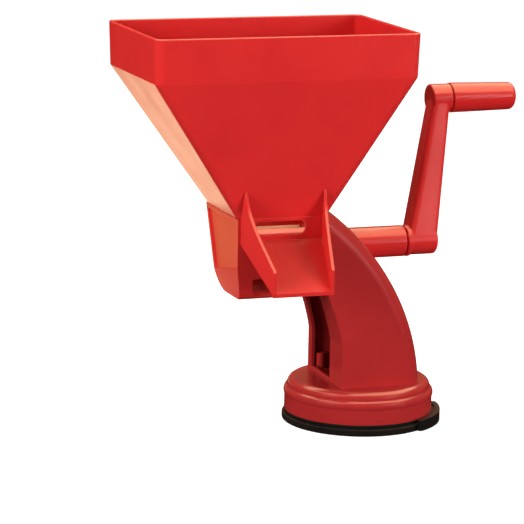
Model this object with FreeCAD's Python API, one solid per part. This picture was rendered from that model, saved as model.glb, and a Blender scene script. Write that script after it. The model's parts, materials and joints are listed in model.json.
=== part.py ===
import FreeCAD, Part
import math
import os

# Hand cranked tomato strainer. X runs along the crank shaft, with the crank at +X,
# -Y is the side of the skin chute, +Z is up. The origin is the centre of the base on the table.
V = FreeCAD.Vector

# Running and seating clearances
seat_gap = 0.3
shaft_gap = 0.05
pin_gap = 0.05

# How far a cut runs past the face that it opens, and the share of a corner's radius
# that its arc's middle stands in from the corner
over = 1.0
arc_share = 1 - math.sqrt(0.5)

# Hopper
rim_height = 340.0
rim_length = 227.0
rim_depth = 144.0
rim_centre_x = -91.8
rim_band = 36.7
rim_draft = 1.0
rim_corner_r = 7.5
hopper_wall = 3.0
rim_edge_r = 1.2

# Neck, which the hopper and the housing share
neck_z = 187.0
neck_centre_x = -86.0
neck_length = 79.0
neck_depth = 86.0
neck_corner_r = 6.0
spigot_rise = 6.0
spigot_wall = 2.0
spigot_corner_r = 1.0
ledge_height = 2.5

# Housing round the rotor: a trough with a straight front, a flat floor and a back that runs up to the neck
shaft_z = 153.5
trough_r = 35.0
trough_y = -10.0
trough_rise = 0.5
trough_corner_r = 4.0
housing_wall = 2.5
housing_end_wall = 5.0
slot_length = 46.0
slot_centre_x = -89.0
slot_bottom_z = 172.5
slot_height = 11.5
shelf_run = 6.5
shelf_rise = 3.6
shelf_thickness = 2.5
outlet_top_z = 136.0
outlet_left_margin = 10.0
outlet_right_margin = 4.0

# End cover
cover_thickness = 3.5
cover_recess = 1.5
cover_rim = 3.5
cover_fold_y = 2.6
cover_fold_z = 137.4
cover_fold_tilt_deg = 11.3
cover_lean_deg = 5.0
cover_side_margin = 100.0
cover_boss_length = 7.0
cover_boss_wall = 2.5

# Sieve and its frame
sieve_thickness = 0.8
sieve_left_margin = 3.0
sieve_right_margin = 2.5
sieve_first_deg = 6.0
sieve_last_deg = 174.0
sieve_hole_r = 1.3
sieve_rows = 12
sieve_columns = 11
frame_band = 4.0
frame_thickness = 1.8
frame_front_y = -24.0
frame_rail_deg = 6.0

# Rotor
rotor_hub_r = 10.0
rotor_end_gap = 0.8
blade_count = 3
blade_thickness = 3.0
blade_root_r = 7.0
blade_lean_deg = 18.0
blade_tip_gap = 0.4
blade_first_deg = 90.0

# Drive shaft, bushes and seal
shaft_r = 4.0
shaft_end_x = 62.0
bush_wall = 2.5
bush_length = 10.0
bush_flange = 1.2
seal_wall = 2.1
rotor_pin_margin = 1.5
rotor_pin_deg = 40.0

# Bearing sleeve between the column and the crank
sleeve_r = 13.4
sleeve_bore_r = 8.5
sleeve_end_x = 37.0
sleeve_edge_r = 1.0

# Column
column_half_depth = 42.0
column_wall = 3.0
column_top_x = -40.0
column_bend_x = 1.0
column_bend_z = 146.0
column_back_x = 29.0
column_back_z = 98.0
column_foot_x = 42.5
column_left_x = -31.0
column_left_z = 74.0
column_left_mid_x = -37.0
column_left_mid_z = 98.0
column_left_top_z = 122.0
column_corner_r = 14.0
window_front_y = -12.0
window_back_y = 33.0
window_bottom_z = 40.0
window_top_z = 114.0
column_shaft_room = 2.0
boss_r = 4.5
boss_height = 14.0
boss_right_inset = 8.4
boss_right_deg = 46.3
boss_left_inset = 12.5
boss_left_deg = 121.4

# Base ring
ring_bottom_z = 9.4
ring_lip = 2.0
ring_side_z = 22.0
ring_side_draft = 1.3
ring_step_z = 29.6
ring_step = 1.0
ring_shoulder = 6.4
ring_top_z = 37.0
ring_low_bulge = 1.4
ring_high_bulge = 2.4
ring_wall = 3.0
guide_wall = 3.7
guide_bottom_z = 24.0

# Suction cup
cup_r = 65.4
cup_top_z = 6.2
cup_edge_r = 1.5
cup_contact_band = 8.4
cup_hollow = 2.6
cup_hollow_run = 7.8
cup_hub_r = 15.5
pocket_floor_z = 4.4
pocket_lip = 2.0

# Twist lock and plunger
lock_thickness = 2.6
lock_lip = 0.2
collar_gap = 1.0
collar_r = 20.5
collar_z = 13.0
ramp_span_deg = 60.0
ramp_overrun_deg = 8.0
ramp_steps = 12
plunger_travel = 4.0
plunger_head_r = 12.0
plunger_head_h = 3.0
plunger_r = 5.0
plunger_top_z = 36.4
lock_pin_r = 1.5
lock_pin_z = 20.0
lock_pin_half = 20.0
ramp_gap = 0.4
tab_gap = 0.8
tab_thickness = 4.6
tab_bottom_z = 1.2
tab_top_z = 10.6
tab_first_deg = -60.0
tab_last_deg = -4.0
tab_arm_root = 4.0
tab_arm_inset_deg = 3.0

# Screws
screw_r = 1.6
screw_head_r = 3.4
screw_head_h = 2.4
screw_bite = 11.0
wall_screw_bite = 3.6
wall_screw_high_drop = 11.0
wall_screw_high_y = 25.0
wall_screw_low_drop = 20.5
wall_screw_low_front_y = 25.0
wall_screw_low_back_y = 11.0

# Skin chute
chute_wall = 2.6
chute_centre_x = -86.5
chute_top_half = 36.8
chute_foot_half = 26.1
chute_top_z = 210.0
chute_foot_y = -97.0
chute_foot_z = 135.0
chute_floor_z = 168.5
chute_lip_z = 152.0
chute_lip_drop = 0.8
chute_shoulder_y = -58.0
chute_shoulder_z = 190.5
chute_sweep_y = -74.0
chute_sweep_z = 173.0

# Crank arm
arm_length = 121.2
arm_lean = 27.2
crank_turn_deg = 14.0
hub_first_x = 38.0
hub_length = 28.4
hub_r = 12.4
hub_bead_r = 13.4
hub_bead_length = 4.5
hub_bead_edge_r = 1.1
hub_edge_r = 3.0
top_hub_length = 17.6
top_hub_r = 12.2
top_hub_edge_r = 1.5
arm_foot_width = 28.2
arm_top_width = 17.0
arm_foot_depth = 24.0
arm_top_depth = 21.4
arm_corner_r = 6.0
crank_pin_r = 1.5
crank_pin_offset = 2.0
crank_pin_cover = 2.6

# Grip
grip_gap = 0.8
grip_length = 59.6
grip_foot_r = 13.0
grip_end_r = 11.8
grip_nose_r = 5.0
grip_heel_r = 1.0
axle_r = 3.0
axle_root = 16.0
axle_head_r = 5.0
axle_head_h = 3.0
cap_depth = 6.0
cap_plug_depth = 4.0
cap_r = 6.0
cap_edge_r = 0.6

# Places that follow from the sizes above
neck_left_x = neck_centre_x - neck_length / 2
neck_right_x = neck_centre_x + neck_length / 2
housing_left_x = neck_left_x + cover_thickness
housing_right_x = neck_right_x
chamber_right_x = housing_right_x - housing_end_wall
rim_left_x = rim_centre_x - rim_length / 2
band_z = rim_height - rim_band
trough_z = shaft_z + trough_rise
trough_turn = (math.atan2(neck_z - trough_z, neck_depth / 2 - trough_y)
               - math.acos(trough_r / math.hypot(neck_z - trough_z, neck_depth / 2 - trough_y)))
back_wall_r = (trough_r - housing_wall + trough_y * math.cos(trough_turn)
               + trough_rise * math.sin(trough_turn))
rail_r = back_wall_r - seat_gap
sieve_r = rail_r - frame_thickness
sieve_left_x = housing_left_x + sieve_left_margin
sieve_right_x = chamber_right_x - sieve_right_margin
sieve_inner_r = sieve_r - sieve_thickness
blade_tip_r = sieve_inner_r - blade_tip_gap
bush_r = shaft_r + bush_wall
cover_bush_x = neck_left_x + cover_recess + bush_flange
cover_boss_x = housing_left_x + cover_boss_length
rotor_left_x = cover_boss_x + rotor_end_gap
rotor_right_x = chamber_right_x - rotor_end_gap
hub_middle_x = hub_first_x + hub_length / 2
top_hub_x = hub_middle_x + arm_lean
grip_axis_z = shaft_z + arm_length
top_hub_end_x = top_hub_x + top_hub_length / 2
grip_x = top_hub_end_x + grip_gap
grip_end_x = grip_x + grip_length
lock_z = cup_top_z + seat_gap
pocket_top_z = pocket_floor_z + plunger_head_h + plunger_travel + 2 * seat_gap
plunger_head_z = pocket_top_z - seat_gap - plunger_head_h
cup_hub_top_z = pocket_top_z + pocket_lip
collar_inner_r = cup_hub_r + collar_gap
ramp_high_z = lock_pin_z - lock_pin_r - ramp_gap
cup_contact_r = cup_r - cup_contact_band
ring_r = cup_r - ring_lip
ring_step_r = ring_r - ring_side_draft
ring_tier_r = ring_step_r - ring_step
ring_top_r = ring_tier_r - ring_shoulder
lock_r = ring_r + lock_lip


def box(x0, x1, y0, y1, z0, z1):
    return Part.makeBox(x1 - x0, y1 - y0, z1 - z0, V(x0, y0, z0))


def rod_x(radius, x0, x1, y=0.0, z=shaft_z):
    return Part.makeCylinder(radius, x1 - x0, V(x0, y, z), V(1, 0, 0))


def rod_z(radius, z0, z1, x=0.0, y=0.0):
    return Part.makeCylinder(radius, z1 - z0, V(x, y, z0), V(0, 0, 1))


def tube_x(outer, inner, x0, x1, z=shaft_z):
    return rod_x(outer, x0, x1, 0.0, z).cut(rod_x(inner, x0, x1, 0.0, z))


def tube_z(outer, inner, z0, z1):
    return rod_z(outer, z0, z1).cut(rod_z(inner, z0, z1))


def line(a, b):
    return Part.LineSegment(a, b).toShape()


def arc(a, b, c):
    return Part.Arc(a, b, c).toShape()


# An arc in the XZ plane that stands out from its chord by a bulge, on the side away from the axis
def bowed(a, b, bulge):
    chord = b - a
    out = V(chord.z, 0, -chord.x)
    out.normalize()
    return arc(a, (a + b) * 0.5 + out * bulge, b)


def face_of(edges):
    return Part.Face(Part.Wire(Part.__sortEdges__(edges)))


def round_edges(shape, radius, chosen):
    edges = [edge for edge in shape.Edges if chosen(edge.BoundBox)]
    return shape.makeFillet(radius, edges)


def one_solid(shape):
    solids = shape.removeSplitter().Solids
    if len(solids) != 1:
        raise ValueError("a piece fell into " + str(len(solids)) + " solids")
    return solids[0]


# A level rectangle with round corners
def rounded_rectangle(x0, x1, y0, y1, radius, z):
    lean = radius * arc_share
    return Part.Wire([
        line(V(x0 + radius, y0, z), V(x1 - radius, y0, z)),
        arc(V(x1 - radius, y0, z), V(x1 - lean, y0 + lean, z), V(x1, y0 + radius, z)),
        line(V(x1, y0 + radius, z), V(x1, y1 - radius, z)),
        arc(V(x1, y1 - radius, z), V(x1 - lean, y1 - lean, z), V(x1 - radius, y1, z)),
        line(V(x1 - radius, y1, z), V(x0 + radius, y1, z)),
        arc(V(x0 + radius, y1, z), V(x0 + lean, y1 - lean, z), V(x0, y1 - radius, z)),
        line(V(x0, y1 - radius, z), V(x0, y0 + radius, z)),
        arc(V(x0, y0 + radius, z), V(x0 + lean, y0 + lean, z), V(x0 + radius, y0, z)),
    ])


# The hopper's rectangle at a height, drawn in by an inset
def rim_wire(inset, draft, z):
    cut = inset + draft
    return rounded_rectangle(
        rim_left_x + cut, rim_left_x + rim_length - cut,
        -rim_depth / 2 + cut, rim_depth / 2 - cut, rim_corner_r - inset, z)


def neck_wire(inset, z):
    return rounded_rectangle(
        neck_left_x + inset, neck_right_x - inset,
        -neck_depth / 2 + inset, neck_depth / 2 - inset, neck_corner_r - inset, z)


# The hopper's outer form, or its hollow where an inset is given
def hopper_form(inset, top_z, bottom_z):
    band = Part.makeLoft([rim_wire(inset, rim_draft, band_z), rim_wire(inset, 0.0, top_z)], True, True)
    funnel = Part.makeLoft([neck_wire(inset, neck_z), rim_wire(inset, rim_draft, band_z)], True, True)
    form = band.fuse(funnel)
    if bottom_z < neck_z:
        below = Part.Face(neck_wire(inset, bottom_z)).extrude(V(0, 0, neck_z - bottom_z))
        form = form.fuse(below)
    return form


def make_hopper():
    outer = hopper_form(0.0, rim_height, neck_z)
    hollow = hopper_form(hopper_wall, rim_height, neck_z)
    shell = one_solid(outer.cut(hollow))
    return round_edges(shell, rim_edge_r, lambda b: b.ZMin > rim_height - 0.01)


# The housing's end outline. Its back runs straight from the neck onto the trough's round.
def housing_outline(inset, top_z, x):
    radius = trough_r - inset
    front = inset - neck_depth / 2
    back = trough_y + (radius - (top_z - trough_z) * math.sin(trough_turn)) / math.cos(trough_turn)
    floor_z = trough_z - radius
    corner = trough_corner_r - inset
    lean = corner * arc_share

    def around(angle):
        return V(x, trough_y + radius * math.cos(angle), trough_z + radius * math.sin(angle))
    floor = V(x, trough_y, floor_z)
    return face_of([
        line(V(x, front, top_z), V(x, back, top_z)),
        line(V(x, back, top_z), around(trough_turn)),
        arc(around(trough_turn), around((trough_turn - math.pi / 2) / 2), floor),
        line(floor, V(x, front + corner, floor_z)),
        arc(V(x, front + corner, floor_z), V(x, front + lean, floor_z + lean), V(x, front, floor_z + corner)),
        line(V(x, front, floor_z + corner), V(x, front, top_z)),
    ])


# All that lies left of the end cover's face moved right by an offset. Below a slanted fold
# the face leans in towards the housing.
def left_of_cover(offset):
    x = neck_left_x + offset
    reach = cover_side_margin
    upright = box(x - reach, x, -reach, reach, shaft_z - reach, shaft_z + reach)
    leaning = upright.copy()
    tilt = math.radians(cover_fold_tilt_deg)
    fold = V(0, math.cos(tilt), -math.sin(tilt))
    leaning.rotate(V(x, cover_fold_y, cover_fold_z), fold, -cover_lean_deg)
    return upright.fuse(leaning)


# A point round the shaft: the angle is counted from the chute side downwards
def trough_point(x, radius, degrees):
    angle = math.radians(degrees)
    return V(x, -radius * math.cos(angle), shaft_z - radius * math.sin(angle))


def trough_sector(x0, x1, outer, inner, first_deg, last_deg):
    middle = (first_deg + last_deg) / 2
    edges = [
        arc(trough_point(x0, outer, first_deg), trough_point(x0, outer, middle),
            trough_point(x0, outer, last_deg)),
        line(trough_point(x0, outer, last_deg), trough_point(x0, inner, last_deg)),
        arc(trough_point(x0, inner, last_deg), trough_point(x0, inner, middle),
            trough_point(x0, inner, first_deg)),
        line(trough_point(x0, inner, first_deg), trough_point(x0, outer, first_deg)),
    ]
    return face_of(edges).extrude(V(x1 - x0, 0, 0))


# The slot that the skins leave by
def slot_cutter():
    radius = slot_height / 2
    x0 = slot_centre_x - slot_length / 2 + radius
    x1 = slot_centre_x + slot_length / 2 - radius
    middle_z = slot_bottom_z + radius
    front_y = -neck_depth / 2 - over
    depth = V(0, 1, 0)
    length = housing_wall + 2 * over
    cutter = box(x0, x1, front_y, front_y + length, slot_bottom_z, slot_bottom_z + slot_height)
    for x in (x0, x1):
        cutter = cutter.fuse(Part.makeCylinder(radius, length, V(x, front_y, middle_z), depth))
    return cutter


def wall_screw_places():
    high_z = neck_z - wall_screw_high_drop
    low_z = shaft_z - wall_screw_low_drop
    return [(-wall_screw_high_y, high_z), (wall_screw_high_y, high_z),
            (-wall_screw_low_front_y, low_z), (wall_screw_low_back_y, low_z)]


# A shelf behind the slot that leads the skins down to it
def slot_shelf():
    wall_y = housing_wall - neck_depth / 2
    x = neck_left_x + cover_thickness
    inner = V(x, wall_y + shelf_run, slot_bottom_z + shelf_rise)
    down = V(0, 0, shelf_thickness)
    outer = V(x, wall_y, slot_bottom_z)
    outline = Part.makePolygon([outer, inner, inner - down, outer - down, outer])
    return Part.Face(outline).extrude(V(chamber_right_x - x, 0, 0))


def make_housing():
    length = V(housing_right_x - housing_left_x, 0, 0)
    outer_form = housing_outline(0.0, neck_z, housing_left_x).extrude(length)
    chamber_x = chamber_right_x - housing_left_x
    body = outer_form.cut(housing_outline(housing_wall, neck_z, housing_left_x).extrude(V(chamber_x, 0, 0)))
    outer = max(hopper_wall + seat_gap, cover_thickness)
    inner = outer + spigot_wall
    ledge_z = neck_z - ledge_height
    collar = Part.Face(neck_wire(outer, ledge_z)).extrude(V(0, 0, ledge_height + spigot_rise))
    ledge = outer_form.common(
        box(housing_left_x, housing_right_x, -neck_depth / 2, neck_depth / 2, ledge_z, neck_z))
    body = body.fuse(ledge).fuse(collar)
    mouth = rounded_rectangle(
        neck_left_x + inner, neck_right_x - inner,
        -neck_depth / 2 + inner, neck_depth / 2 - inner, spigot_corner_r, ledge_z - over)
    body = body.cut(Part.Face(mouth).extrude(V(0, 0, ledge_height + spigot_rise + 2 * over)))
    body = body.fuse(slot_shelf())
    body = body.cut(slot_cutter())
    front_y = -neck_depth / 2
    floor_z = trough_z - trough_r + housing_wall
    body = body.cut(box(
        housing_left_x + outlet_left_margin, chamber_right_x - outlet_right_margin,
        front_y - over, front_y + housing_wall + over, floor_z, outlet_top_z))
    body = body.cut(left_of_cover(cover_thickness))
    body = body.cut(rod_x(shaft_r + seal_wall, chamber_right_x - over, housing_right_x + over))
    for y, z in wall_screw_places():
        start = housing_right_x - wall_screw_bite - seat_gap
        body = body.cut(rod_x(screw_r + pin_gap, start, housing_right_x, y, z))
    return one_solid(body)


def make_end_cover():
    top_z = neck_z - seat_gap
    plate = housing_outline(0.0, top_z, neck_left_x).extrude(V(chamber_right_x - neck_left_x, 0, 0))
    plate = plate.common(left_of_cover(cover_thickness)).cut(left_of_cover(0.0))
    panel = housing_outline(cover_rim, top_z - cover_rim, neck_left_x).extrude(V(cover_recess, 0, 0))
    reach = cover_side_margin
    below = box(neck_left_x, housing_left_x, cover_fold_y - reach, cover_fold_y + reach,
                cover_fold_z - reach, cover_fold_z)
    below.rotate(V(0, cover_fold_y, cover_fold_z), V(1, 0, 0), -cover_fold_tilt_deg)
    plate = plate.cut(panel.cut(below))
    boss = rod_x(bush_r + cover_boss_wall, cover_bush_x, cover_boss_x)
    plate = plate.fuse(boss)
    return one_solid(plate.cut(rod_x(bush_r, cover_bush_x, cover_boss_x)))


def make_left_bush():
    return tube_x(bush_r, shaft_r + shaft_gap, cover_bush_x, cover_boss_x)


def make_sieve():
    sheet = trough_sector(
        sieve_left_x, sieve_right_x, sieve_r, sieve_inner_r, sieve_first_deg, sieve_last_deg)
    step_x = (sieve_right_x - sieve_left_x - 2 * frame_band) / sieve_columns
    step_deg = (sieve_last_deg - sieve_first_deg - 4 * frame_rail_deg) / sieve_rows
    holes = []
    for column in range(sieve_columns):
        for row in range(sieve_rows):
            x = sieve_left_x + frame_band + (column + 0.5) * step_x
            degrees = sieve_first_deg + 2 * frame_rail_deg + (row + 0.5) * step_deg
            start = trough_point(x, sieve_inner_r - over, degrees)
            end = trough_point(x, sieve_r + over, degrees)
            holes.append(Part.makeCylinder(sieve_hole_r, (end - start).Length, start, end - start))
    return one_solid(sheet.cut(holes))


# Two end plates that stand on the trough's floor, joined by two rails along the sieve's edges
def make_sieve_frame():
    first, last = sieve_first_deg, sieve_last_deg - frame_rail_deg
    frame = trough_sector(sieve_left_x, sieve_right_x, rail_r, sieve_r, first, first + frame_rail_deg)
    frame = frame.fuse(
        trough_sector(sieve_left_x, sieve_right_x, rail_r, sieve_r, last, last + frame_rail_deg))
    for x in (sieve_left_x, sieve_right_x - frame_band):
        plate = housing_outline(housing_wall + seat_gap, shaft_z, x).extrude(V(frame_band, 0, 0))
        plate = plate.cut(rod_x(sieve_r, x, x + frame_band))
        plate = plate.cut(box(x, x + frame_band, -neck_depth, frame_front_y, 0, neck_z))
        frame = frame.fuse(plate)
    return one_solid(frame.cut(left_of_cover(cover_thickness + seat_gap)))


# One blade, leaning back from the radius it starts on
def blade_box(grow, tip_r):
    half = blade_thickness / 2 + grow
    blade = box(rotor_left_x, rotor_right_x, -half, half, blade_root_r - grow, tip_r + blade_thickness)
    blade.rotate(V(0, 0, blade_root_r), V(1, 0, 0), -blade_lean_deg)
    blade.translate(V(0, 0, shaft_z))
    return blade.common(rod_x(tip_r, rotor_left_x, rotor_right_x))


def turned_blades(grow, tip_r):
    blades = []
    for index in range(blade_count):
        blade = blade_box(grow, tip_r)
        turn = blade_first_deg + index * 360.0 / blade_count
        blade.rotate(V(0, 0, shaft_z), V(1, 0, 0), turn)
        blades.append(blade)
    return blades


def make_rotor_hub():
    hub = tube_x(rotor_hub_r, shaft_r + pin_gap, rotor_left_x, rotor_right_x)
    for blade in turned_blades(0.0, blade_tip_r):
        hub = hub.cut(blade)
    return one_solid(hub.cut(rotor_pin_shape(pin_gap)))


def make_rotor_blades():
    return Part.makeCompound(turned_blades(0.0, blade_tip_r))


# Cross pin that keys the rotor to the shaft
def rotor_pin_shape(grow):
    x = (rotor_left_x + rotor_right_x) / 2
    half = blade_root_r - rotor_pin_margin + grow
    pin = rod_z(crank_pin_r + grow, shaft_z - half, shaft_z + half, x)
    pin.rotate(V(0, 0, shaft_z), V(1, 0, 0), rotor_pin_deg)
    return pin


def make_drive_shaft():
    shaft = rod_x(shaft_r, cover_bush_x + seat_gap, shaft_end_x)
    shaft = shaft.cut(rotor_pin_shape(pin_gap))
    return one_solid(shaft.cut(turned_back(crank_pin_shape(pin_gap))))


def make_shaft_seal():
    return tube_x(shaft_r + seal_wall, shaft_r + shaft_gap, chamber_right_x, housing_right_x)


def make_bearing_sleeve():
    sleeve = tube_x(sleeve_r, sleeve_bore_r, housing_right_x + column_wall, sleeve_end_x)
    far = sleeve_end_x - 0.01
    return round_edges(sleeve, sleeve_edge_r, lambda b: b.XMin > far and b.ZMax > shaft_z + sleeve_r - 0.1)


def make_sleeve_bushes():
    near = tube_x(sleeve_bore_r, shaft_r + shaft_gap, housing_right_x + column_wall,
                  housing_right_x + column_wall + bush_length)
    far = tube_x(sleeve_bore_r, shaft_r + shaft_gap, sleeve_end_x - bush_length, sleeve_end_x)
    return Part.makeCompound([near, far])


# The curve down the column's back, moved inwards by an inset along its own normals
def column_back(inset, y):
    places = [(column_top_x, neck_z), (column_bend_x, column_bend_z), (column_back_x, column_back_z),
              (column_foot_x, ring_top_z)]
    points = [V(x, y, z) for x, z in places]
    outer = Part.BSplineCurve()
    outer.interpolate(points)
    moved = []
    for point in points:
        along = outer.tangent(outer.parameter(point))[0]
        moved.append(point - V(-along.z, 0, along.x) * inset)
    moved[-1].z = ring_top_z
    curve = Part.BSplineCurve()
    curve.interpolate(moved)
    return curve.toShape(), moved[0], moved[-1]


# The column's side outline: a slope from the neck, a round back and a leaning front of the foot
def column_outline(inset, y):
    left = column_left_x + inset
    wall_x = neck_right_x + inset
    back, top, foot = column_back(inset, y)
    return face_of([
        line(V(wall_x, y, top.z), top),
        back,
        line(foot, V(left, y, foot.z)),
        line(V(left, y, foot.z), V(left, y, column_left_z)),
        arc(V(left, y, column_left_z), V(column_left_mid_x + inset, y, column_left_mid_z + inset / 2),
            V(wall_x, y, column_left_top_z + inset)),
        line(V(wall_x, y, column_left_top_z + inset), V(wall_x, y, top.z)),
    ])


# Only the back's two long edges span both the column's width and its height
def column_form(inset):
    half = column_half_depth - inset
    form = column_outline(inset, -half).extrude(V(0, 2 * half, 0))
    width = column_foot_x - column_bend_x
    return round_edges(form, column_corner_r - inset, lambda b: (
        b.YMax - b.YMin < 0.01 and b.XMax - b.XMin > width and b.ZMax - b.ZMin > width))


def foot_screw_places():
    places = []
    for inset, degrees in ((boss_right_inset, boss_right_deg), (boss_left_inset, boss_left_deg)):
        reach = ring_top_r - inset
        angle = math.radians(degrees)
        for side in (-1, 1):
            places.append((reach * math.cos(angle), side * reach * math.sin(angle)))
    return places


def make_column():
    body = column_form(0.0).cut(column_form(column_wall))
    for x, y in foot_screw_places():
        boss = rod_z(boss_r, ring_top_z, ring_top_z + boss_height, x, y)
        body = body.fuse(boss)
    for x, y in foot_screw_places():
        body = body.cut(rod_z(screw_r + pin_gap, ring_top_z, ring_top_z + screw_bite + seat_gap, x, y))
    window = box(housing_right_x, column_left_x + column_wall + over, window_front_y, window_back_y,
                 window_bottom_z, window_top_z)
    body = body.cut(window)
    wall_x = housing_right_x + column_wall
    body = body.cut(rod_x(sleeve_r, wall_x, sleeve_end_x))
    body = body.cut(rod_x(shaft_r + column_shaft_room, housing_right_x - over, wall_x + over))
    for y, z in wall_screw_places():
        body = body.cut(rod_x(screw_r + pin_gap, housing_right_x - over, wall_x + over, y, z))
    return one_solid(body)


def make_wall_screws():
    screws = []
    head_x = housing_right_x + column_wall
    for y, z in wall_screw_places():
        screw = rod_x(screw_r, housing_right_x - wall_screw_bite, head_x, y, z)
        screws.append(screw.fuse(rod_x(screw_head_r, head_x, head_x + screw_head_h, y, z)))
    return Part.makeCompound(screws)


def make_foot_screws():
    screws = []
    under_z = ring_top_z - ring_wall
    for x, y in foot_screw_places():
        screw = rod_z(screw_r, under_z, ring_top_z + screw_bite, x, y)
        screws.append(screw.fuse(rod_z(screw_head_r, under_z - screw_head_h, under_z, x, y)))
    return Part.makeCompound(screws)


def revolved(edges):
    return face_of(edges).revolve(V(0, 0, 0), V(0, 0, 1), 360)


# Two tiers with round shoulders, closed on top and open below
def make_base_ring():
    wall = ring_wall
    under_z = ring_top_z - wall
    ring = revolved([
        line(V(ring_r - wall, 0, ring_bottom_z), V(ring_r, 0, ring_bottom_z)),
        line(V(ring_r, 0, ring_bottom_z), V(ring_r, 0, ring_side_z)),
        bowed(V(ring_r, 0, ring_side_z), V(ring_step_r, 0, ring_step_z), ring_low_bulge),
        line(V(ring_step_r, 0, ring_step_z), V(ring_tier_r, 0, ring_step_z)),
        bowed(V(ring_tier_r, 0, ring_step_z), V(ring_top_r, 0, ring_top_z), ring_high_bulge),
        line(V(ring_top_r, 0, ring_top_z), V(0, 0, ring_top_z)),
        line(V(0, 0, ring_top_z), V(0, 0, under_z)),
        line(V(0, 0, under_z), V(ring_top_r - wall, 0, under_z)),
        line(V(ring_top_r - wall, 0, under_z), V(ring_r - wall, 0, ring_side_z)),
        line(V(ring_r - wall, 0, ring_side_z), V(ring_r - wall, 0, ring_bottom_z)),
    ])
    stem_r = plunger_r + seat_gap
    ring = ring.fuse(rod_z(stem_r + guide_wall, guide_bottom_z, under_z + wall / 2))
    ring = ring.cut(rod_z(stem_r, guide_bottom_z - over, ring_top_z + over))
    for x, y in foot_screw_places():
        ring = ring.cut(rod_z(screw_r + pin_gap, under_z - over, ring_top_z + over, x, y))
    return one_solid(ring)


# Rubber foot: a flat contact band, a shallow hollow and a pocket that traps the plunger's head
def make_suction_cup():
    edge = cup_edge_r
    lean = edge * arc_share
    slope_r = cup_contact_r - cup_hollow_run
    cup = revolved([
        line(V(cup_contact_r, 0, 0), V(cup_r - edge, 0, 0)),
        arc(V(cup_r - edge, 0, 0), V(cup_r - lean, 0, lean), V(cup_r, 0, edge)),
        line(V(cup_r, 0, edge), V(cup_r, 0, cup_top_z - edge)),
        arc(V(cup_r, 0, cup_top_z - edge), V(cup_r - lean, 0, cup_top_z - lean),
            V(cup_r - edge, 0, cup_top_z)),
        line(V(cup_r - edge, 0, cup_top_z), V(cup_hub_r, 0, cup_top_z)),
        line(V(cup_hub_r, 0, cup_top_z), V(cup_hub_r, 0, cup_hub_top_z)),
        line(V(cup_hub_r, 0, cup_hub_top_z), V(0, 0, cup_hub_top_z)),
        line(V(0, 0, cup_hub_top_z), V(0, 0, cup_hollow)),
        line(V(0, 0, cup_hollow), V(slope_r, 0, cup_hollow)),
        line(V(slope_r, 0, cup_hollow), V(cup_contact_r, 0, 0)),
    ])
    cup = cup.cut(rod_z(plunger_head_r + seat_gap, pocket_floor_z, pocket_top_z))
    return one_solid(cup.cut(rod_z(plunger_r + seat_gap, pocket_top_z - over, cup_hub_top_z + over)))


def arc_wall(outer, inner, z0, z1, first_deg, last_deg):
    def at(radius, degrees):
        angle = math.radians(degrees)
        return V(radius * math.cos(angle), radius * math.sin(angle), z0)
    middle = (first_deg + last_deg) / 2
    edges = [
        arc(at(outer, first_deg), at(outer, middle), at(outer, last_deg)),
        line(at(outer, last_deg), at(inner, last_deg)),
        arc(at(inner, last_deg), at(inner, middle), at(inner, first_deg)),
        line(at(inner, first_deg), at(outer, first_deg)),
    ]
    return face_of(edges).extrude(V(0, 0, z1 - z0))


# A ramp that falls as the lock turns, so the pin comes down by the plunger's travel
def make_ramp(turn_deg):
    sections = []
    first = 90 + ramp_overrun_deg
    span = ramp_span_deg + 2 * ramp_overrun_deg
    base_z = lock_z + lock_thickness / 2
    for step in range(ramp_steps + 1):
        degrees = first - span * step / ramp_steps
        top_z = ramp_high_z - plunger_travel * (90 - degrees) / ramp_span_deg
        angle = math.radians(degrees + turn_deg)
        out = V(math.cos(angle), math.sin(angle), 0)
        corners = [out * collar_inner_r + V(0, 0, base_z), out * collar_r + V(0, 0, base_z),
                   out * collar_r + V(0, 0, top_z), out * collar_inner_r + V(0, 0, top_z)]
        sections.append(Part.makePolygon(corners + corners[:1]))
    return Part.makeLoft(sections, True, True)


def make_lock_ring():
    top_z = lock_z + lock_thickness
    ring = tube_z(lock_r, collar_inner_r, lock_z, top_z)
    ring = ring.fuse(tube_z(collar_r, collar_inner_r, lock_z, collar_z))
    for turn in (0, 180):
        ring = ring.fuse(make_ramp(turn))
    grip_inner = cup_r + tab_gap
    grip_outer = grip_inner + tab_thickness
    tab = arc_wall(grip_outer, grip_inner, tab_bottom_z, tab_top_z, tab_first_deg, tab_last_deg)
    for degrees in (tab_first_deg, tab_last_deg):
        angle = math.radians(degrees)
        middle_r = (grip_inner + grip_outer) / 2
        tab = tab.fuse(rod_z(tab_thickness / 2, tab_bottom_z, tab_top_z,
                             middle_r * math.cos(angle), middle_r * math.sin(angle)))
    arm = arc_wall(grip_inner + over, lock_r - tab_arm_root, lock_z, top_z,
                   tab_first_deg + tab_arm_inset_deg, tab_last_deg - tab_arm_inset_deg)
    return one_solid(ring.fuse(arm).fuse(tab))


def make_plunger():
    head = rod_z(plunger_head_r, plunger_head_z, plunger_head_z + plunger_head_h)
    plunger = head.fuse(rod_z(plunger_r, plunger_head_z, plunger_top_z))
    return one_solid(plunger.cut(lock_pin_shape(pin_gap)))


def lock_pin_shape(grow):
    half = lock_pin_half
    return Part.makeCylinder(lock_pin_r + grow, 2 * half, V(0, -half, lock_pin_z), V(0, 1, 0))


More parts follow.
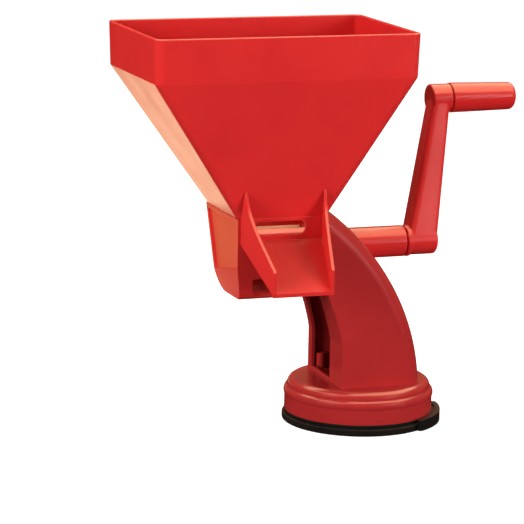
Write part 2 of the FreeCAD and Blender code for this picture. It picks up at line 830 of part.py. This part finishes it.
# One side wall of the chute: it lies along the hopper's slope behind and is swept in front
def make_chute_wall(sign):
    x_top = chute_centre_x + sign * chute_top_half
    x_foot = chute_centre_x + sign * chute_foot_half
    back_y = -neck_depth / 2 - seat_gap
    slope = (rim_depth - neck_depth) / 2 / (band_z - neck_z)
    top_y = back_y - slope * (chute_top_z - neck_z)
    run = chute_foot_y - back_y

    def at(y, z):
        return V(x_top + (x_foot - x_top) * (y - back_y) / run, y, z)
    front = Part.BSplineCurve()
    front.interpolate([at(top_y, chute_top_z), at(chute_shoulder_y, chute_shoulder_z),
                       at(chute_sweep_y, chute_sweep_z), at(chute_foot_y, chute_lip_z)])
    edges = [
        line(at(back_y, chute_floor_z - chute_wall), at(back_y, neck_z)),
        line(at(back_y, neck_z), at(top_y, chute_top_z)),
        front.toShape(),
        line(at(chute_foot_y, chute_lip_z), at(chute_foot_y, chute_foot_z - chute_wall)),
        line(at(chute_foot_y, chute_foot_z - chute_wall), at(back_y, chute_floor_z - chute_wall)),
    ]
    return face_of(edges).extrude(V(-sign * chute_wall, 0, 0))


def make_skin_chute():
    back_y = -neck_depth / 2 - seat_gap
    top = V(0, back_y, chute_floor_z)
    foot = V(0, chute_foot_y, chute_foot_z)
    wall = V(0, 0, -chute_wall)

    def across(point, half):
        return [V(chute_centre_x - half, point.y, point.z), V(chute_centre_x + half, point.y, point.z)]
    left_top, right_top = across(top, chute_top_half)
    left_foot, right_foot = across(foot, chute_foot_half)
    outline = Part.makePolygon([left_top, right_top, right_foot, left_foot, left_top])
    floor = Part.Face(outline).extrude(wall)
    chute = floor.fuse(make_chute_wall(-1)).fuse(make_chute_wall(1))
    lip = box(chute_centre_x - chute_foot_half, chute_centre_x + chute_foot_half,
              chute_foot_y, chute_foot_y + chute_wall, chute_foot_z - chute_wall - chute_lip_drop, chute_foot_z)
    return one_solid(chute.fuse(lip))


# The crank's pieces are drawn with the arm straight up, then turned back to where it rests
def turned_back(shape):
    shape.rotate(V(0, 0, shaft_z), V(1, 0, 0), -crank_turn_deg)
    return shape


# Lower hub with its bead, a leaning tapered arm and the upper hub, in one moulding
def make_crank_arm():
    hub_end_x = hub_first_x + hub_length
    lower = rod_x(hub_r, hub_first_x, hub_end_x)
    lower = round_edges(lower, hub_edge_r, lambda b: b.XMin > hub_end_x - 0.01)
    bead = rod_x(hub_bead_r, hub_first_x, hub_first_x + hub_bead_length)
    bead = round_edges(bead, hub_bead_edge_r, lambda b: b.XMax - b.XMin < 0.01)
    top_first = top_hub_x - top_hub_length / 2
    upper = rod_x(top_hub_r, top_first, top_hub_end_x, 0.0, grip_axis_z)
    upper = round_edges(upper, top_hub_edge_r, lambda b: b.XMax < top_first + 0.01)
    foot = rounded_rectangle(
        hub_middle_x - arm_foot_width / 2, hub_middle_x + arm_foot_width / 2,
        -arm_foot_depth / 2, arm_foot_depth / 2, arm_corner_r, shaft_z)
    top = rounded_rectangle(
        top_hub_x - arm_top_width / 2, top_hub_x + arm_top_width / 2,
        -arm_top_depth / 2, arm_top_depth / 2, arm_corner_r, grip_axis_z)
    arm = Part.makeLoft([foot, top], True, True)
    crank = lower.fuse(bead).fuse(upper).fuse(arm)
    crank = crank.cut(rod_x(shaft_r + pin_gap, hub_first_x - over, shaft_end_x + seat_gap))
    axle_x = top_hub_end_x - axle_root
    crank = crank.cut(rod_x(axle_r + pin_gap, axle_x, top_hub_end_x + over, 0.0, grip_axis_z))
    return turned_back(one_solid(crank.cut(crank_pin_shape(pin_gap))))


# Cross pin through the shaft, driven into the lower hub from the back
def crank_pin_shape(grow):
    start = V(hub_middle_x + crank_pin_offset, crank_pin_cover - hub_r, shaft_z)
    return Part.makeCylinder(crank_pin_r + grow, 2 * hub_r - crank_pin_cover, start, V(0, 1, 0))


def make_grip():
    body = Part.makeCone(grip_foot_r, grip_end_r, grip_length, V(grip_x, 0, grip_axis_z), V(1, 0, 0))
    body = round_edges(body, grip_nose_r, lambda b: b.XMin > grip_end_x - 0.01)
    body = round_edges(body, grip_heel_r, lambda b: b.XMax < grip_x + 0.01)
    body = body.cut(rod_x(axle_r + pin_gap, grip_x - over, grip_end_x, 0.0, grip_axis_z))
    room_x = grip_end_x - cap_depth - axle_head_h - 2 * seat_gap
    body = body.cut(rod_x(axle_head_r + seat_gap, room_x, grip_end_x, 0.0, grip_axis_z))
    body = body.cut(rod_x(cap_r, grip_end_x - cap_plug_depth, grip_end_x + over, 0.0, grip_axis_z))
    return turned_back(one_solid(body))


def make_grip_axle():
    head_x = grip_end_x - cap_depth - axle_head_h - seat_gap
    axle = rod_x(axle_r, top_hub_end_x - axle_root, head_x, 0.0, grip_axis_z)
    return turned_back(axle.fuse(rod_x(axle_head_r, head_x, head_x + axle_head_h, 0.0, grip_axis_z)))


def make_grip_cap():
    cap = rod_x(cap_r, grip_end_x - cap_plug_depth, grip_end_x, 0.0, grip_axis_z)
    return turned_back(round_edges(cap, cap_edge_r, lambda b: b.XMin > grip_end_x - 0.01))


nodes = {
    "hopper": make_hopper,
    "housing": make_housing,
    "end_cover": make_end_cover,
    "left_bush": make_left_bush,
    "sieve": make_sieve,
    "sieve_frame": make_sieve_frame,
    "rotor_hub": make_rotor_hub,
    "rotor_blades": make_rotor_blades,
    "rotor_pin": lambda: rotor_pin_shape(0.0),
    "drive_shaft": make_drive_shaft,
    "shaft_seal": make_shaft_seal,
    "bearing_sleeve": make_bearing_sleeve,
    "sleeve_bushes": make_sleeve_bushes,
    "column": make_column,
    "wall_screws": make_wall_screws,
    "foot_screws": make_foot_screws,
    "base_ring": make_base_ring,
    "suction_cup": make_suction_cup,
    "lock_ring": make_lock_ring,
    "plunger": make_plunger,
    "lock_pin": lambda: lock_pin_shape(0.0),
    "skin_chute": make_skin_chute,
    "crank_arm": make_crank_arm,
    "crank_pin": lambda: turned_back(crank_pin_shape(0.0)),
    "grip": make_grip,
    "grip_axle": make_grip_axle,
    "grip_cap": make_grip_cap,
}

os.makedirs("parts", exist_ok=True)
for name, make in nodes.items():
    shape = make()
    shape.exportStep("parts/" + name + ".step")
    bounds = shape.BoundBox
    print(name, len(shape.Solids), "valid" if shape.isValid() else "BAD", round(shape.Volume / 1000, 2), "cm3",
          [round(v, 1) for v in (bounds.XMin, bounds.XMax, bounds.YMin, bounds.YMax, bounds.ZMin, bounds.ZMax)])
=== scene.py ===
import bpy
import json
import math
from mathutils import Matrix, Vector

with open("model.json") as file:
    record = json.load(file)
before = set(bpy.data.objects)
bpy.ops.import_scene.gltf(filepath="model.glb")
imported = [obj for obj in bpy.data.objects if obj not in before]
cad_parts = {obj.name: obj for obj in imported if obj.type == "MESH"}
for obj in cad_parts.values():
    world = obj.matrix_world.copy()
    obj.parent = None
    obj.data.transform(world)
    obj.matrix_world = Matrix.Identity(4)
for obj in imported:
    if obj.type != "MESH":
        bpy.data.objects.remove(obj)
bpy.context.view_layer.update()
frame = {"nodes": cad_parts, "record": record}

# The camera of the photograph: place in metres, angles in radians, focal length on a 36 mm sensor
camera_place = (-0.8277, -2.1225, 0.6000)
camera_yaw = 0.3348
camera_pitch = 0.2014
camera_roll = 0.0169
camera_lens = 187.35
camera_sensor = 36.0
camera_reach = 20.0

# The floor in metres, and the strength of its own glow
floor_size = 14.0
floor_drop = 0.0002
floor_glow = 0.88
floor_greys = ((0.49, 0.49, 0.49), (0.52, 0.52, 0.52))
floor_mottle = 3.0

# The surround: colour, strength below and above, and the two slopes of view between which it changes
colour_dome = ((1, 0.98, 0.96, 1), 0.15, 0.3, -0.1, 0.15)
gloss_dome = ((1, 0.28, 0.17, 1), 0.04, 0.6, -0.05, 0.2)

# The lamps: name, place, target and size in metres, radiance, and whether it lights the gloss
lamps = (
    ("left", (-1.4, -0.5, 0.5), (-0.1, 0, 0.25), (0.7, 0.7), (15.0, 14.6, 14.2), False),
    ("right", (1.0, -1.3, 0.5), (0.0, 0, 0.2), (0.7, 0.7), (17.0, 16.5, 16.0), False),
    ("over", (-0.1, 0.4, 1.5), (-0.1, 0, 0.3), (0.8, 0.8), (8.0, 7.8, 7.6), False),
    ("gloss_overhead", (0.0, 0.11, 1.25), (0.0, 0.11, 0.0), (3.0, 2.16), (5.1, 4.3, 2.5), True),
    ("gloss_low", (0.03, 0.75, 0.01), (0.03, 0.75, 1.0), (0.54, 0.8), (1.8, 1.3, 0.8), True),
    ("gloss_low_left", (-0.44, 0.85, 0.01), (-0.44, 0.85, 1.0), (0.36, 0.6), (0.6, 0.46, 0.14), True),
)

# Surfaces: edge radii and bump depths in metres, noise scales per metre
plastic_edge = 0.0007
soft_edge = 0.0018
plastic_peel = 0.022
plastic_mottle_scale = 22.0
plastic_rough_scale = 35.0
plastic_peel_scale = 260.0
rubber_edge = 0.0008
rubber_shine = 0.15
rubber_grain = 0.2
rubber_mottle_scale = 70.0
rubber_rough_scale = 120.0
rubber_grain_scale = 1500.0
skin_depth = 0.0002
brush_grain = 0.15
brush_depth = 0.0001

# The cosine between a surface's normal and its softened one, on a flat and on a sharp edge
flat_turn = 0.995
edge_turn = 0.80

# Reds of the moulded body: deep, bright and worn; the stand's reds are the same plastic drawn darker,
# painted shade on the column and base ring
body_reds = ((0.55, 0.019, 0.019), (0.60, 0.022, 0.021), (0.63, 0.03, 0.028))
grip_reds = ((0.57, 0.016, 0.016), (0.62, 0.019, 0.018), (0.64, 0.028, 0.026))
stand_reds_painted_shade = ((0.34, 0.018, 0.018), (0.38, 0.02, 0.021), (0.46, 0.03, 0.03))


def add_camera():
    data = bpy.data.cameras.new("photo_camera")
    data.sensor_width = camera_sensor
    data.lens = camera_lens
    data.clip_end = camera_reach
    forward = Vector((math.sin(camera_yaw) * math.cos(camera_pitch),
                      math.cos(camera_yaw) * math.cos(camera_pitch), -math.sin(camera_pitch)))
    right = Vector((math.cos(camera_yaw), -math.sin(camera_yaw), 0))
    up = right.cross(forward)
    rolled_right = right * math.cos(camera_roll) + up * math.sin(camera_roll)
    rolled_up = up * math.cos(camera_roll) - right * math.sin(camera_roll)
    camera = bpy.data.objects.new("photo_camera", data)
    bpy.context.scene.collection.objects.link(camera)
    turn = Matrix((rolled_right, rolled_up, -forward)).transposed().to_4x4()
    camera.matrix_world = Matrix.Translation(camera_place) @ turn
    bpy.context.scene.camera = camera


# A node in a material, with its inputs set by name
def node(tree, kind, **values):
    made = tree.nodes.new(kind)
    for name, value in values.items():
        key = name.replace("_", " ")
        if key in made.inputs:
            made.inputs[key].default_value = value
        else:
            setattr(made, name, value)
    return made


def new_material(name):
    material = bpy.data.materials.new(name)
    material.use_nodes = True
    tree = material.node_tree
    shader = tree.nodes["Principled BSDF"]
    return material, tree, shader


# Noise that is fixed to the object's own coordinates, in metres
def noise(tree, scale, detail=3.0, roughness=0.5):
    place = tree.nodes.new("ShaderNodeTexCoord")
    made = node(tree, "ShaderNodeTexNoise", Scale=scale, Detail=detail, Roughness=roughness)
    tree.links.new(place.outputs["Object"], made.inputs["Vector"])
    return made.outputs["Fac"]


def ranged(tree, source, low, high, from_low=0.3, from_high=0.7):
    made = tree.nodes.new("ShaderNodeMapRange")
    for socket, value in zip(made.inputs[1:5], (from_low, from_high, low, high)):
        socket.default_value = value
    tree.links.new(source, made.inputs[0])
    return made.outputs[0]


def two_colours(tree, factor, first, second):
    made = tree.nodes.new("ShaderNodeMix")
    made.data_type = "RGBA"
    made.inputs["A"].default_value = (*first, 1)
    made.inputs["B"].default_value = (*second, 1)
    tree.links.new(factor, made.inputs["Factor"])
    return made.outputs["Result"]


# How far a point lies on a rounded edge, 0 on flats and 1 on sharp edges, and the softened normal
def edge_share(tree, width):
    soft = node(tree, "ShaderNodeBevel", samples=4, Radius=width)
    real = tree.nodes.new("ShaderNodeNewGeometry")
    dot = node(tree, "ShaderNodeVectorMath", operation="DOT_PRODUCT")
    tree.links.new(soft.outputs[0], dot.inputs[0])
    tree.links.new(real.outputs["Normal"], dot.inputs[1])
    return ranged(tree, dot.outputs["Value"], 1.0, 0.0, edge_turn, flat_turn), soft.outputs[0]


def bump(tree, shader, height, strength, distance, normal=None):
    made = node(tree, "ShaderNodeBump", Strength=strength, Distance=distance)
    tree.links.new(height, made.inputs["Height"])
    if normal is not None:
        tree.links.new(normal, made.inputs["Normal"])
    tree.links.new(made.outputs[0], shader.inputs["Normal"])


# Moulded gloss plastic: faint mottling, a fine orange-peel skin and edges rubbed a little paler
def plastic(name, deep, bright, worn, rough_low, rough_high, shine=0.5, edge=plastic_edge):
    material, tree, shader = new_material(name)
    wear, soft = edge_share(tree, edge)
    mottled = two_colours(tree, ranged(tree, noise(tree, plastic_mottle_scale), 0.0, 1.0), deep, bright)
    mix = tree.nodes.new("ShaderNodeMix")
    mix.data_type = "RGBA"
    mix.inputs["B"].default_value = (*worn, 1)
    tree.links.new(mottled, mix.inputs["A"])
    tree.links.new(wear, mix.inputs["Factor"])
    tree.links.new(mix.outputs["Result"], shader.inputs["Base Color"])
    shader.inputs["Specular IOR Level"].default_value = shine
    rough = ranged(tree, noise(tree, plastic_rough_scale, 2.0), rough_low, rough_high)
    tree.links.new(rough, shader.inputs["Roughness"])
    bump(tree, shader, noise(tree, plastic_peel_scale, 1.0), plastic_peel, skin_depth, soft)
    return material


# Matt rubber with a fine grain, a little dusty in places
def rubber(name, dark, dusty):
    material, tree, shader = new_material(name)
    soft = node(tree, "ShaderNodeBevel", samples=4, Radius=rubber_edge)
    colour = two_colours(tree, ranged(tree, noise(tree, rubber_mottle_scale, 4.0), 0.0, 1.0), dark, dusty)
    tree.links.new(colour, shader.inputs["Base Color"])
    shader.inputs["Specular IOR Level"].default_value = rubber_shine
    tree.links.new(ranged(tree, noise(tree, rubber_rough_scale), 0.55, 0.8), shader.inputs["Roughness"])
    bump(tree, shader, noise(tree, rubber_grain_scale), rubber_grain, skin_depth, soft.outputs[0])
    return material


# Metal with fine lines along one axis, by noise stretched the other way
def brushed(name, colour, dull, rough_low, rough_high, stretch):
    material, tree, shader = new_material(name)
    shader.inputs["Metallic"].default_value = 1.0
    place = tree.nodes.new("ShaderNodeTexCoord")
    mapping = tree.nodes.new("ShaderNodeMapping")
    mapping.inputs["Scale"].default_value = stretch
    tree.links.new(place.outputs["Object"], mapping.inputs["Vector"])
    lines = node(tree, "ShaderNodeTexNoise", Scale=1.0, Detail=4.0)
    tree.links.new(mapping.outputs[0], lines.inputs["Vector"])
    tree.links.new(two_colours(tree, lines.outputs["Fac"], dull, colour), shader.inputs["Base Color"])
    tree.links.new(ranged(tree, lines.outputs["Fac"], rough_low, rough_high), shader.inputs["Roughness"])
    bump(tree, shader, lines.outputs["Fac"], brush_grain, brush_depth)
    return material


finishes = {
    "red_plastic": plastic("red_moulded", *body_reds, 0.2, 0.26),
    "grip_red": plastic("red_grip", *grip_reds, 0.18, 0.24, edge=soft_edge),
    "black_rubber": rubber("rubber_black", (0.004, 0.004, 0.004), (0.008, 0.007, 0.007)),
    "black_plastic": plastic("black_moulded", (0.004, 0.004, 0.004), (0.007, 0.007, 0.007),
                             (0.02, 0.02, 0.02), 0.35, 0.5, 0.2),
    "sieve_steel": brushed("steel_sieve", (0.66, 0.66, 0.67), (0.5, 0.5, 0.52), 0.25, 0.4, (60, 1500, 1500)),
    "shaft_steel": brushed("steel_turned", (0.64, 0.64, 0.66), (0.5, 0.5, 0.52), 0.2, 0.35, (2500, 60, 60)),
    "white_nylon": plastic("nylon_white", (0.80, 0.79, 0.74), (0.86, 0.85, 0.81),
                           (0.9, 0.9, 0.88), 0.4, 0.55),
    "blade_rubber": rubber("rubber_cream", (0.72, 0.46, 0.26), (0.80, 0.54, 0.32)),
    "screw_steel": brushed("steel_zinc", (0.62, 0.62, 0.64), (0.45, 0.45, 0.48), 0.3, 0.5, (400, 400, 400)),
}
# The column and base ring get darker reds: painted shade, a darker copy of the body red where less light
# falls
stand_red_painted_shade = plastic("red_stand_painted_shade", *stand_reds_painted_shade, 0.17, 0.23)
crank_red = plastic("red_crank", *body_reds, 0.2, 0.26, edge=soft_edge)
# Nodes with a material of their own: the crank arm and sleeve with wider soft edges, the column and base
# ring with painted shade
finish_and_painted_shade_by_node = {
    "column": stand_red_painted_shade,
    "base_ring": stand_red_painted_shade,
    "crank_arm": crank_red,
    "bearing_sleeve": crank_red,
}
slot_of = {part["node"]: part["material_slot"] for part in frame["record"]["subparts"]}


def dress_nodes():
    for name, piece in frame["nodes"].items():
        for place in piece.material_slots:
            place.material = finish_and_painted_shade_by_node.get(name, finishes[slot_of[name]])


# A soft lamp that the camera doesn't see, which lights either the surfaces' own colour or their gloss
def soft_lamp(name, place, target, size, radiance, gloss):
    data = bpy.data.lights.new(name, "AREA")
    data.shape = "RECTANGLE"
    data.size, data.size_y = size
    strongest = max(radiance)
    data.energy = strongest * math.pi * size[0] * size[1]
    data.color = [value / strongest for value in radiance]
    lamp = bpy.data.objects.new(name, data)
    bpy.context.scene.collection.objects.link(lamp)
    lamp.location = place
    aim = Vector(target) - Vector(place)
    lamp.rotation_euler = aim.to_track_quat("-Z", "Y").to_euler()
    lamp.visible_camera = False
    lamp.visible_diffuse = not gloss
    lamp.visible_glossy = gloss


def add_floor():
    bpy.ops.mesh.primitive_plane_add(size=floor_size, location=(0, 0, -floor_drop))
    floor = bpy.context.object
    floor.name = "floor"
    material, tree, shader = new_material("floor_pale")
    colour = two_colours(tree, noise(tree, floor_mottle), *floor_greys)
    tree.links.new(colour, shader.inputs["Base Color"])
    shader.inputs["Roughness"].default_value = 0.7
    shader.inputs["Emission Color"].default_value = (1, 1, 1, 1)
    shader.inputs["Emission Strength"].default_value = floor_glow
    floor.data.materials.append(material)
    floor.visible_glossy = False
    floor.visible_diffuse = False


# A white surround to look at, an even dome for the colours, and for the gloss a dome that is darker below
def add_world():
    world = bpy.data.worlds.new("surround")
    bpy.context.scene.world = world
    world.use_nodes = True
    tree = world.node_tree
    seen = tree.nodes["Background"]
    seen.inputs["Color"].default_value = (1, 1, 1, 1)
    place = tree.nodes.new("ShaderNodeTexCoord")
    split = tree.nodes.new("ShaderNodeSeparateXYZ")
    tree.links.new(place.outputs["Generated"], split.inputs[0])
    domes = []
    for colour, below, above, from_height, to_height in (colour_dome, gloss_dome):
        dome = node(tree, "ShaderNodeBackground", Color=colour)
        strength = ranged(tree, split.outputs["Z"], below, above, from_height, to_height)
        tree.links.new(strength, dome.inputs["Strength"])
        domes.append(dome)
    path = tree.nodes.new("ShaderNodeLightPath")
    lit = tree.nodes.new("ShaderNodeMixShader")
    tree.links.new(path.outputs["Is Glossy Ray"], lit.inputs["Fac"])
    tree.links.new(domes[0].outputs[0], lit.inputs[1])
    tree.links.new(domes[1].outputs[0], lit.inputs[2])
    mix = tree.nodes.new("ShaderNodeMixShader")
    tree.links.new(path.outputs["Is Camera Ray"], mix.inputs["Fac"])
    tree.links.new(lit.outputs[0], mix.inputs[1])
    tree.links.new(seen.outputs[0], mix.inputs[2])
    tree.links.new(mix.outputs[0], tree.nodes["World Output"].inputs["Surface"])


add_camera()
dress_nodes()
add_floor()
add_world()
for lamp in lamps:
    soft_lamp(*lamp)
bpy.context.scene.view_settings.view_transform = "Standard"
